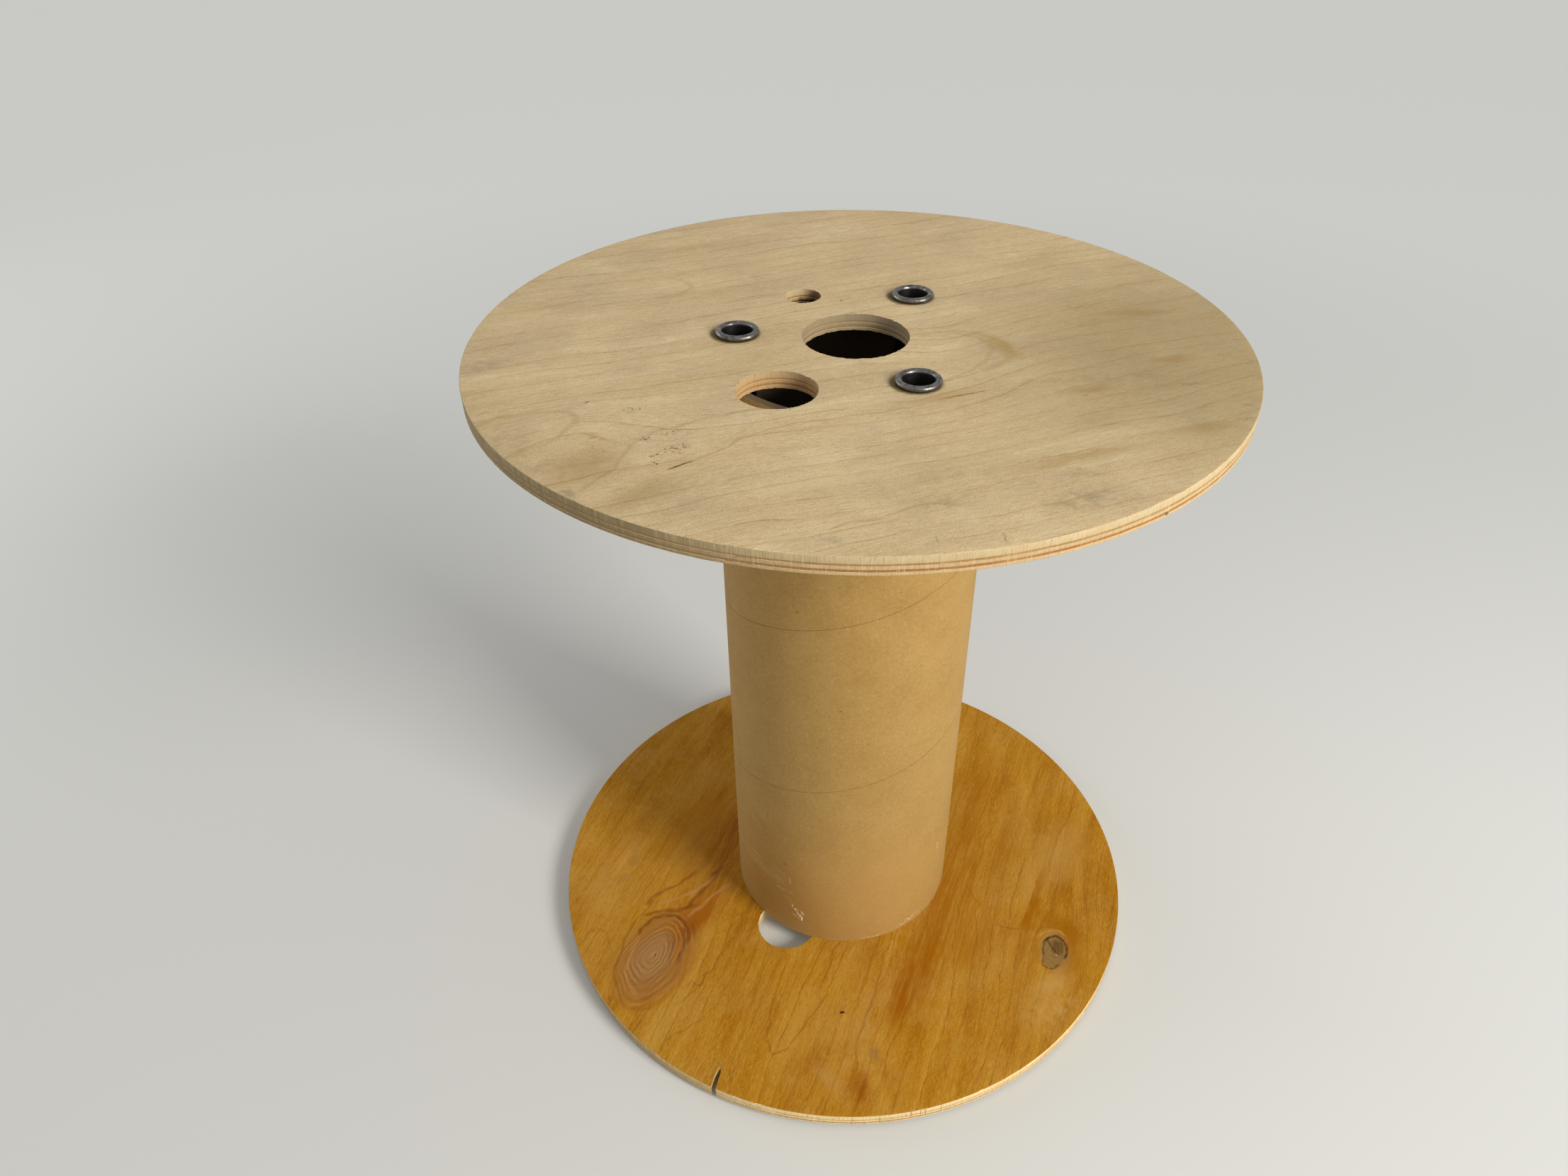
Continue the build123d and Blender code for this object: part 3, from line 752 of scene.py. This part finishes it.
def makeFlange(name, low, slots, cracks, split=None):
    shape = flangeShape
    base = low.z
    top = base + shape["thickness"]
    middle = (base + top) / 2
    radius = shape["radius"]
    inRadius = radius - 1 * mm
    clearSelection()
    bpy.ops.mesh.primitive_cylinder_add(vertices=shape["sides"], radius=radius, depth=shape["thickness"])
    board = bpy.context.object
    board.name = name
    placeApplied(board, (0, 0, middle))
    editOnly(board)

    # the rim's two sharp edges are broken
    def onRimEdge(edge):
        start, end = edge.verts
        return min(start.co.xy.length, end.co.xy.length) > radius - touch and abs(start.co.z - end.co.z) < touch
    pick(board, "EDGE", onRimEdge)
    bpy.ops.mesh.bevel(offset=shape["edgeBreakMm"] * mm, segments=3, profile=0.6)

    # a cut each side of every glue line, so that a ply can stand back from the next
    glue = shape["glueLineMm"] / 2 * mm
    cuts = [top - part * shape["thickness"] + side for part in plyShares for side in (-glue, glue)]
    for cut in cuts:
        cutAllAt((0, 0, cut), (0, 0, 1))

    # a grid over the faces
    steps = int(radius / (shape["gridMm"] * mm))
    for step in range(-steps, steps + 1):
        for way in ((1, 0, 0), (0, 1, 0)):
            cutAllAt(tuple(c * (step + shape["gridShift"]) * shape["gridMm"] * mm for c in way), way)

    # the boards aren't dead flat: a soft swell of a tenth of a millimetre
    leaveEdit()
    pushByClouds(board, name + "Swell", shape["swellSize"], shape["swellMm"] * mm, "Z")

    cutters = [addCutter("primitive_cylinder_add", (x * mm, y * mm, middle), vertices=corners, radius=r * mm,
                         depth=throughHeight) for x, y, r, corners in shape["holes"]]
    for x, y, angle, length, width, depth in cracks:
        crack = addCutter("primitive_ico_sphere_add", (0, 0, 0), subdivisions=3, radius=1.0)
        crack.scale = (length / 2 * mm, width / 2 * mm, depth * mm)
        placeApplied(crack, (x * mm, y * mm, top), (0, 0, math.radians(angle)))
        cutters.append(crack)
    if split:
        cutters.append(makeSplitCutter(split, middle))
    joinInto(cutters[0], cutters[1:])
    applyModifier(board, "BOOLEAN", object=cutters[0], operation="DIFFERENCE", solver="EXACT")
    bpy.data.objects.remove(cutters[0])

    # plies show in the holes' walls too
    editOnly(board)
    for cut in cuts:
        pick(board, "FACE", lambda f: abs(f.normal.z) < steep and f.calc_center_median().xy.length < inRadius)
        cutAt((0, 0, cut), (0, 0, 1))
    for start, end in (plyShares[:2], plyShares[2:]):
        highest = top - start * shape["thickness"] - glue
        lowest = top - end * shape["thickness"] + glue
        pick(board, "FACE", lambda f: abs(f.normal.z) < steep and lowest < f.calc_center_median().z < highest)
        bpy.ops.transform.shrink_fatten(value=-shape["plyReliefMm"] * mm)

    # ragged edges where the cutters broke out, and a rim worn by rolling
    def atHoleEdge(v):
        atFace = min(abs(v.co.z - top), abs(v.co.z - base)) < shape["fuzzBandMm"] * mm
        return v.co.xy.length < radius - 12 * mm and atFace and any(abs(f.normal.z) < steep for f in v.link_faces)
    pick(board, "VERT", atHoleEdge)
    roughen(shape["fuzzMm"] * mm, seed=3)
    pick(board, "VERT", lambda v: v.co.xy.length > radius - shape["rimBandMm"] * mm)
    roughen(shape["rimWearMm"] * mm, seed=5)
    leaveEdit()

    # the upper veneer, the lower one, and the plies wherever the board was sawn
    for slot in slots:
        board.data.materials.append(slot)
    paintFaces(board, 0, lambda f: True)
    paintFaces(board, 1, lambda f: f.normal.z < -level)

    def isSawn(f):
        spot = f.calc_center_median().xy
        inHole = any((spot - Vector((x, y)) * mm).length < (r + 0.6) * mm for x, y, r, corners in shape["holes"])
        inSplit = split and (spot - onCircle(radius, split["mouthAngle"]).xy).length < (split["lengthMm"] + 1) * mm
        return abs(f.normal.z) <= level and (spot.length > inRadius or inHole or inSplit)
    paintFaces(board, 2, isSawn)

    # torn fibres stand into the holes from both faces
    slivers = []
    for x, y, r, corners in shape["holes"][:shape["splinteredHoles"]]:
        for k in range(splinters["perHole"]):
            turn = random.uniform(0, 360)
            face = random.choice((top - splinters["depthMm"] * mm, base + splinters["depthMm"] * mm))
            sliver = copyPiece(sliverModel)
            size = random.uniform(*splinters["sizes"])
            sliver.scale = (size, size, random.uniform(*splinters["lengths"]))
            spot = Vector((x * mm, y * mm, face)) + onCircle((r - splinters["seatMm"]) * mm, turn)
            lean = random.uniform(*splinters["leans"])
            turn += random.uniform(*splinters["turns"])
            placeApplied(sliver, spot, (math.pi / 2, lean, math.radians(turn)))
            sliver.data.materials.append(slots[2])
            slivers.append(sliver)
    joinInto(board, slivers)
    smoothTo(board, shape["smoothDegrees"])
    return board


def makeSplitCutter(split, middle):
    # a wedge along the grain, open to the rim and narrowing to a point
    length = split["lengthMm"] * mm
    out = split["outMm"] * mm
    clearSelection()
    bpy.ops.mesh.primitive_cube_add(size=1, location=(0, 0, 0))
    wedge = bpy.context.object
    wedge.scale = (length + out, split["widthMm"] * mm, throughHeight)
    placeApplied(wedge)
    editOnly(wedge)
    selectAll()
    bpy.ops.transform.translate(value=((length - out) / 2, 0, 0))
    for part in [0.0] + [part for part, width in split["taper"][:-1]]:
        cutAllAt((length * part, 0, 0), (1, 0, 0))
    for part, width in split["taper"]:
        pick(wedge, "VERT", lambda v: abs(v.co.x - length * part) < 0.1 * mm)
        bpy.ops.transform.resize(value=(1, width, 1), center_override=(0, 0, 0))
        bpy.ops.transform.translate(value=(0, random.uniform(-split["waverMm"], split["waverMm"]) * mm, 0))
    leaveEdit()
    placeApplied(wedge, onCircle(flangeShape["radius"], split["mouthAngle"], middle),
                 (0, 0, math.radians(split["grainAngle"])))
    return wedge


print("flanges")
sliverModel = makeSplinter()
# x, y, angle, length, width and depth of every crack
upperCracks = [(-72.3, -135.5, 38, 12, 0.9, 0.45), (55, -63.5, 23.4, 22, 0.5, 0.4)]
lowerCracks = [
    (-124.7, -92.9, 70, 3.6, 0.9, 0.5), (3.5, -130, 10, 4, 1.6, 0.5),
    # the gap round the small knot's far side, and the crack from it to the heart
    (147.4, -64.0, 15, 7.0, 0.8, 0.6), (153.3, -66.3, -52, 5.6, 0.75, 0.6), (156.1, -72.6, -90, 6.0, 0.6, 0.5),
    (154.6, -79.2, -112, 5.4, 0.5, 0.4), (145.4, -71.4, -74, 8.4, 0.3, 0.4),
]
# its cutter starts outside the rim, and narrows at shares of its length
rimSplit = {"lengthMm": 14, "widthMm": 3.4, "outMm": 6, "waverMm": 0.22, "mouthAngle": 248.2, "grainAngle": 77,
            "taper": [(0.15, 0.98), (0.32, 0.94), (0.55, 0.9), (0.72, 0.78), (0.86, 0.55), (1.0, 0.1)]}
upperBoard = makeFlange("upper_flange_board", upperLow, [topVeneer, upperInnerVeneer, upperEdge], upperCracks)
lowerBoard = makeFlange("lower_flange_board", lowerLow, [lowerInnerVeneer, bottomVeneer, lowerEdge], lowerCracks,
                        rimSplit)
bpy.data.objects.remove(sliverModel)
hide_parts("upper_flange")
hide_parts("lower_flange")


coreShape = {
    "radius": 0.075, "wall": 0.004, "pitch": 0.127, "turns": 6, "seamHeight": 0.2827, "seamAngle": -104,
    "seamWidthMm": 0.32, "seamDepthMm": 0.12, "seamSlopeMm": 0.06, "turnSteps": 160, "rows": 22, "smoothDegrees": 40,
}


def surfaceMark(angleA, heightA, angleB, heightB, width, *look):
    # a mark on the core between two places given as angle and height in mm
    depth = 5
    radiusMm = coreShape["radius"] / mm
    start, end = onCircle(radiusMm, angleA, heightA), onCircle(radiusMm, angleB, heightB)
    middle = (start + end) / 2
    along = (end - start).normalized()
    out = Vector((middle.x, middle.y, 0)).normalized()
    across = out.cross(along).normalized()
    turn = Matrix((along, across, along.cross(across))).transposed().to_euler()
    return makeMark(tuple(middle), tuple(turn), ((end - start).length / 2 + width, width / 2, depth), *look)


def kraftMaterial(name, look):
    # Spiral-wound cardboard tube with a kraft liner: tan paper with short fibres, dry and a little fuzzy
    material, add, place = startMaterial(name)
    cloud = add("TexNoise", place, Scale=38.0, Detail=4.0, Roughness=0.6)
    # fibres about 2 mm long, drawn coarser than the real 0.03 mm so that they show, and dark specks
    fibre = add("TexNoise", place, Scale=620.0, Detail=3.0, Roughness=0.7, Distortion=0.6)
    speck = add("TexVoronoi", place, Scale=210.0, feature="F1")
    colour = add("ValToRGB", cloud, stops=look["ramp"])
    for start, end, shade in ((0.52, 0.75, look["dark"]), (0.48, 0.26, look["pale"])):
        colour = blend(add, add("MapRange", fibre, start, end, 0.0, 0.42), colour, shade)
    dots = add("MapRange", speck.outputs["Distance"], 0.16, 0.06, 0.0, 0.4)
    chance = add("MapRange", add("SeparateColor", speck.outputs["Color"]), 0.72, 0.78)
    colour = blend(add, add("Math", dots, chance, operation="MULTIPLY"), colour, look["dot"])
    if look.get("marks"):
        colour = addMarks(add, place, colour, look["marks"])
    bump = add("Bump", Height=fibre, Strength=0.5, Distance=0.15 * mm)
    finishMaterial(add, Base_Color=colour, Roughness=look["roughness"], Specular_IOR_Level=0.35, IOR=1.5, Normal=bump)
    return material


# warmer towards the foot
footMarks = [
    makeMark((20, -80, 40), unturned, (120, 70, 120), "#B88B4C", 0.4, 0.1, "soft"),
    makeMark((-50, -60, 30), unturned, (70, 50, 90), "#96681C", 0.5, 0.1, "soft"),
]
# the angle and height of both ends, width, colour, strength, core and kind
scuffs = [
    # pale scuffs that run down to the torn place at the cable hole
    (-162, 60, -140, 62, 18, "#A88F5C", 0.4, 0.0, "soft"),
    (-144, 60, -124, 60, 15, "#A88F5C", 0.45, 0.1, "soft"),
    (-128, 59, -114, 58, 12, "#A88F5C", 0.3, 0.0, "soft patchy"),
    (-166, 57.2, -147.7, 65.8, 1.4, "#BC9C68", 0.5, 0.2, "soft"),
    (-147.7, 65.8, -131.7, 69.7, 1.3, "#C2A26C", 0.55, 0.2, "soft"),
    (-131.7, 69.7, -116.4, 67.5, 1.2, "#C2A46E", 0.55, 0.2, "ragged patchy"),
    (-125.3, 62.5, -117, 66.5, 1.1, "#C8AC78", 0.6, 0.2, "ragged patchy"),
    (-116.4, 67.5, -116.3, 60, 1.2, "#C8AC78", 0.6, 0.2, "soft"),
    (-125.6, 63, -124, 53, 1.1, "#BEA06A", 0.5, 0.2, "ragged patchy"),
    (-142.3, 49.5, -129.6, 51.2, 1.2, "#B89A64", 0.5, 0.2, "ragged patchy"),
    (-129.6, 51.2, -113.1, 51.5, 1.5, "#CDB27E", 0.75, 0.2, "ragged patchy"),
    (-121, 46.2, -117.4, 44.4, 1.2, "#C6A974", 0.6),
    (-117.4, 44.4, -113.9, 40.9, 1.2, "#CDB27E", 0.65),
    (-119.6, 41, -115, 36, 1.1, "#B99A64", 0.5, 0.2, "ragged patchy"),
    (-114.6, 36.6, -112.4, 36, 1.5, "#DCC8A0", 0.8, 0.2, "clean"),
    (-110.2, 35.6, -109.2, 33.2, 1.7, "#E6D6B4", 0.9, 0.2, "clean"),
    (-111.4, 32.6, -110.4, 31.2, 1.5, "#DCC8A0", 0.8, 0.2, "clean"),
    (-115, 29.6, -113, 29, 1.4, "#DCC8A0", 0.8, 0.2, "clean"),
    (-112.4, 28.4, -111.4, 26.8, 1.3, "#D2BC92", 0.8, 0.2, "clean"),
    (-120.7, 78.8, -118.4, 78.8, 1.2, "#5A3A22", 0.8, 0.2, "clean"),
    (-138, 108, -132, 104, 9.0, "#8C6A42", 0.35, 0.0),
    (-111.7, 293, -111.2, 293, 1.2, "#5C4222", 0.8, 0.2, "clean"),
    (-92.2, 226, -91.7, 226, 1.3, "#6A4E2A", 0.8, 0.2, "clean"),
    (-31, 78, -29, 66, 1.2, "#D8BE92", 0.6),
    (-38, 19, -60, 14.2, 1.6, "#E4CEA6", 0.8, 0.2, "ragged patchy"),
    (-60, 14, -82, 13.4, 1.4, "#E0C89C", 0.7, 0.2, "ragged patchy"),
    (-82, 13.3, -104, 12.8, 1.2, "#D0B282", 0.6, 0.2, "ragged patchy"),
]

print("core")
kraft = kraftMaterial("kraftLinerTube", {
    "ramp": [(0.3, "#A68449"), (0.5, "#A28044"), (0.7, "#9D7A3F")], "dark": "#80602C", "pale": "#C09E66",
    "dot": "#6A4A1C", "roughness": 0.72, "marks": footMarks + [surfaceMark(*scuff) for scuff in scuffs],
})
kraftSeam = kraftMaterial("kraftSeamEdge", {
    "ramp": [(0.3, "#8E6C3C"), (0.7, "#806030")], "dark": "#6A4E26", "pale": "#A07E4C", "dot": "#5A3E20",
    "roughness": 0.85,
})
# the tube's inside: brown-grey board, painted darker than the board is as shade for the drum's dim inside
kraftInsideAndShade = kraftMaterial("greyboardPliesAndPaintedShade", {
    "ramp": [(0.3, "#6C5A44"), (0.7, "#5C4C3A")], "dark": "#4A3C2C", "pale": "#7E6C54", "dot": "#40342A",
    "roughness": 0.85,
})
kraftTorn = kraftMaterial("tornKraftFibre", {
    "ramp": [(0.3, "#EADCC0"), (0.7, "#DCC9A4")], "dark": "#C4A878", "pale": "#F6EEDC", "dot": "#C0A070",
    "roughness": 0.9,
})


def makeCore(low, high):
    shape = coreShape
    radius = shape["radius"]
    # one turn of the strip in section, from the seam's groove at its foot to its top edge
    groove = shape["seamWidthMm"] * mm
    depth = shape["seamDepthMm"] * mm
    slope = shape["seamSlopeMm"] * mm
    strip = startPoint((radius - depth, 0, shape["seamHeight"] - 4 * shape["pitch"]))
    extrudeBy((0, 0, groove))
    extrudeBy((depth, 0, slope))
    for row in range(shape["rows"]):
        extrudeBy((0, 0, (shape["pitch"] - groove - 2 * slope) / shape["rows"]))
    extrudeBy((-depth, 0, slope))
    leaveEdit()
    placeApplied(strip, (0, 0, 0), (0, 0, math.radians(shape["seamAngle"])))
    applyModifier(strip, "SCREW", axis="Z", angle=math.tau, screw_offset=shape["pitch"], iterations=shape["turns"],
                  steps=shape["turnSteps"], render_steps=shape["turnSteps"], use_smooth_shade=True)
    editOnly(strip)
    selectAll()
    bpy.ops.mesh.remove_doubles(threshold=0.004 * mm)
    # cut to length, and closed by its two end rings and its bore
    for cut, way in ((low.z, -1), (high.z, 1)):
        cutAllAt((0, 0, cut), (0, 0, way), clear_outer=True)
    inner = (radius - shape["wall"]) / radius
    for cut in (low.z, high.z):
        pick(strip, "EDGE", lambda e: e.is_boundary and all(abs(v.co.z - cut) < touch for v in e.verts))
        extrudeBy((0, 0, 0))
        bpy.ops.transform.resize(value=(inner, inner, 1), center_override=(0, 0, cut))
    pick(strip, "EDGE", lambda e: e.is_boundary)
    bpy.ops.mesh.bridge_edge_loops()
    faceOut()
    leaveEdit()
    strip.name = "core_wound_tube"
    for slot in (kraft, kraftSeam, kraftInsideAndShade, kraftTorn):
        strip.data.materials.append(slot)
    paintFaces(strip, 0, lambda f: True)
    # the inside gets the board darkened as painted shade
    paintFaces(strip, 2, lambda f: f.calc_center_median().xy.length < radius - 1 * mm)

    # the seam's lowest turn is rubbed down, so only the higher ones are dark
    def inSeam(f):
        spot = f.calc_center_median()
        return radius - 1 * mm < spot.xy.length < radius - 0.3 * depth and spot.z > 0.1
    paintFaces(strip, 1, inSeam)
    return strip


flakeShape = {"widthMm": 0.5, "thicknessMm": 0.12, "roughMm": 0.06, "liftMm": 0.05}


def makeFlakes(spots):
    # torn curls of liner at the end of the scuff, each a bent strip a tenth of a millimetre thick
    flakes = []
    up = Vector((0, 0, 1))
    for angle, height, length, lean, curl in spots:
        clearSelection()
        bpy.ops.mesh.primitive_grid_add(x_subdivisions=6, y_subdivisions=2, size=1)
        flake = bpy.context.object
        flake.scale = (length * mm, flakeShape["widthMm"] * mm, 1)
        placeApplied(flake)
        bpy.ops.object.mode_set(mode="EDIT")
        for k in range(1, 4):
            pick(flake, "VERT", lambda v: v.co.x > length * mm * (-0.5 + k * 0.25))
            bpy.ops.transform.translate(value=(0, 0, curl * k * mm))
        selectAll()
        roughen(flakeShape["roughMm"] * mm, seed=int(length * 10))
        leaveEdit()
        applyModifier(flake, "SOLIDIFY", thickness=flakeShape["thicknessMm"] * mm, offset=0.0)
        out = onCircle(1, angle)
        along = up.cross(out) * math.cos(math.radians(lean)) + up * math.sin(math.radians(lean))
        turn = Matrix((along, out.cross(along), out)).transposed().to_euler()
        placeApplied(flake, onCircle(coreShape["radius"] + flakeShape["liftMm"] * mm, angle, height * mm), turn)
        flake.data.materials.append(kraftTorn)
        flakes.append(flake)
    return flakes


coreTube = makeCore(coreLow, coreHigh)
# angle, height, length, lean in degrees and curl
joinInto(coreTube, makeFlakes([
    (-110.5, 30.0, 3.2, -60, 0.16), (-111.6, 31.5, 2.4, -20, 0.2), (-109.8, 28.6, 2.8, -100, 0.12),
    (-112.6, 33.6, 2.2, -70, 0.1), (-113.8, 36.0, 1.8, -50, 0.08), (-110.0, 31.2, 1.6, 20, 0.22),
    (-115.5, 39.0, 1.6, -60, 0.06),
]))
smoothTo(coreTube, coreShape["smoothDegrees"])
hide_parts("core_tube")


tieShape = {"radius": 0.009, "bore": 0.008, "lip": 0.0115, "lipHeight": 0.003, "facets": 96, "smoothDegrees": 50}


def steelMaterial():
    # Bare drawn steel tube, its ends rolled over: dark grey, half glossy, with die lines, nicks and a little brown
    material, add, place = startMaterial("bareRolledSteel")
    cloud = add("TexNoise", place, Scale=330.0, Detail=4.0, Roughness=0.6)
    fine = add("TexNoise", place, Scale=2400.0, Detail=2.0)
    drawn = stretchedNoise(add, place, (1500, 1500, 25), Detail=3.0)
    colour = add("ValToRGB", cloud, stops=[(0.3, "#8A8683"), (0.5, "#6E6B69"), (0.66, "#524E4C"), (0.76, "#4E4038")])
    colour = blend(add, add("MapRange", drawn, 0.5, 0.72, 0.0, 0.5), colour, "#55514E")
    roughness = add("MapRange", cloud, 0.3, 0.7, 0.26, 0.42)
    bump = add("Bump", Height=add("Math", fine, drawn, operation="ADD"), Strength=0.16, Distance=0.08 * mm)
    finishMaterial(add, Base_Color=colour, Metallic=1.0, Roughness=roughness, Normal=bump)
    return material


def makeTieTube():
    # half the wall's section, from the bore at mid height over the rolled lip and back down the outside
    radius, bore, lip = tieShape["radius"], tieShape["bore"], tieShape["lip"]
    low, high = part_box("tie_tube_1")
    half = (high.z - low.z) / 2
    crest = (lip - bore) / 2
    shoulder = half - crest
    seat = half - tieShape["lipHeight"]
    profile = [(bore, height) for height in (0.0, 0.1, half - 12 * mm, half - 6 * mm, shoulder - 0.6 * mm)]
    for turn in range(0, 181, 15):
        angle = math.radians(turn)
        profile.append((bore + crest - crest * math.cos(angle), shoulder + crest * math.sin(angle)))
    profile += [
        (lip, shoulder - 0.35 * mm), (lip - 0.2 * mm, seat + 0.35 * mm), (lip - 0.7 * mm, seat + 0.08 * mm),
        (lip - 1.1 * mm, seat), (radius + 0.3 * mm, seat), (radius, seat - 0.4 * mm), (radius, 0.0),
    ]
    tube = startPoint((profile[0][0], 0, profile[0][1]))
    for before, after in zip(profile, profile[1:]):
        extrudeBy((after[0] - before[0], 0, after[1] - before[1]))
    selectAll()
    bpy.ops.mesh.spin(steps=tieShape["facets"], angle=math.tau, center=(0, 0, 0), axis=(0, 0, 1))
    selectAll()
    bpy.ops.mesh.remove_doubles(threshold=0.002 * mm)
    # nicks where the lip was rolled and knocked about
    pick(tube, "VERT", lambda v: v.co.z > shoulder - 0.2 * mm)
    roughen(0.05 * mm, seed=9)
    leaveEdit()
    applyModifier(tube, "MIRROR", use_axis=(False, False, True), use_mirror_merge=True, merge_threshold=touch)
    editOnly(tube)
    faceOut()
    leaveEdit()
    pushByClouds(tube, "lipDents", 6 * mm, 0.25 * mm)
    placeApplied(tube, (0, 0, (low.z + high.z) / 2))
    return tube


print("tie tubes")
tubeModel = makeTieTube()
tubeModel.data.materials.append(steelMaterial())
smoothTo(tubeModel, tieShape["smoothDegrees"])
tieTubes = []
for number, (node, angle) in enumerate(tieAngles.items(), 1):
    tube = copyPiece(tubeModel)
    tube.name = f"rolled_tie_tube_{number}"
    # each is turned on its own axis too, so that its dents differ
    placeApplied(tube, onCircle(tieCircleMm * mm, angle), (0, 0, math.radians(97 * number)))
    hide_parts(node)
    tieTubes.append(tube)
bpy.data.objects.remove(tubeModel)

slotsOf = [(upperBoard, "plywood"), (lowerBoard, "plywood"), (coreTube, "cardboard")]
for piece, slot in slotsOf + [(tube, "steel") for tube in tieTubes]:
    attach(piece, "root")


print("floor, light and camera")
studio = {
    "floorSize": 40, "floorColour": "#CFCFCB", "backdropColour": "#DADAD6", "worldStrength": 0.5,
    "flatShare": 0.86, "flatFrom": 0.22, "flatFull": 1.8,
    "footBore": 0.03, "footFull": 0.17, "footEdge": 0.19,
    "aim": (0, 0, 0.2), "keyAt": (1.53, -1.2, 1.24), "keySize": 0.75, "keyWatts": 49,
    "fillAt": (-1.72, 0.56, 0.7), "fillSize": 1.0, "fillWatts": 7,
    "cameraAt": (0.00129, -0.5436, 0.66015), "cameraTurn": (52.349, 0.41, 3.232),
    "lens": 25.542, "shiftX": -0.00744, "shiftY": 0.01449,
}


def seenRays(add):
    # the rays of the camera, glass and metal
    path = add("LightPath")
    seen = add("Math", path.outputs["Is Camera Ray"], path.outputs["Is Glossy Ray"], operation="MAXIMUM")
    return path, add("Math", seen, path.outputs["Is Transmission Ray"], operation="MAXIMUM")


clearSelection()
bpy.ops.mesh.primitive_plane_add(size=studio["floorSize"], location=(0, 0, 0))
floor = bpy.context.object
floor.name = "studio_floor"
floorMaterial, add, place = startMaterial("studioFloor")
# the camera, glass and metal see a floor that is truly shaded round the drum and less so far off, where it stays pale
path, seen = seenRays(add)
away = add("VectorMath", place, operation="LENGTH").outputs["Value"]
farOff = add("MapRange", away, studio["flatFrom"], studio["flatFull"], 0.0, studio["flatShare"],
             interpolation_type="SMOOTHSTEP")
flatShare = add("Math", seen, farOff, operation="MULTIPLY")
shaded = add("BsdfDiffuse", Color=studio["floorColour"])
flat = add("Emission", Color=studio["floorColour"], Strength=1.0)
paint = add("MixShader", flatShare, shaded, flat)
# light from below reaches the drum's underside through the hidden part of the floor, but not its bore
hidden = add("MapRange", away, studio["footFull"], studio["footEdge"], 1.0, 0.0)
beside = add("Math", away, studio["footBore"], operation="GREATER_THAN")
underBoard = add("Math", hidden, beside, operation="MULTIPLY")
bounced = add("Math", path.outputs["Is Shadow Ray"], path.outputs["Is Diffuse Ray"], operation="MAXIMUM")
through = add("Math", underBoard, bounced, operation="MULTIPLY")
# and from below the floor isn't there at all
clear = add("Math", add("NewGeometry").outputs["Backfacing"], through, operation="MAXIMUM")
add("OutputMaterial", Surface=add("MixShader", clear, paint, add("BsdfTransparent")))
floor.data.materials.append(floorMaterial)

world = bpy.data.worlds.new("studioLight")
add = startNodes(world)
path, seen = seenRays(add)
even = add("Background", Color="#FFFFFF", Strength=studio["worldStrength"])
backdrop = add("Background", Color=studio["backdropColour"], Strength=1.0)
add("OutputWorld", Surface=add("MixShader", seen, even, backdrop))
bpy.context.scene.world = world


def addLamp(name, colour):
    at = studio[name + "At"]
    clearSelection()
    bpy.ops.object.light_add(type="AREA", location=at)
    lamp = bpy.context.object
    lamp.name = name
    lamp.data.shape = "SQUARE"
    lamp.data.size = studio[name + "Size"]
    lamp.data.energy = studio[name + "Watts"]
    lamp.data.color = hexColour(colour)[:3]
    lamp.rotation_euler = (Vector(studio["aim"]) - Vector(at)).to_track_quat("-Z", "Y").to_euler()


addLamp("key", "#FFFDF8")
addLamp("fill", "#FFFFFF")

clearSelection()
bpy.ops.object.camera_add(location=studio["cameraAt"], rotation=[math.radians(a) for a in studio["cameraTurn"]])
camera = bpy.context.object
camera.data.sensor_width = 36
camera.data.lens = studio["lens"]
camera.data.shift_x = studio["shiftX"]
camera.data.shift_y = studio["shiftY"]
camera.data.clip_start = 0.01
camera.data.clip_end = 100
bpy.context.scene.camera = camera
bpy.context.scene.view_settings.view_transform = "Standard"

print("done")
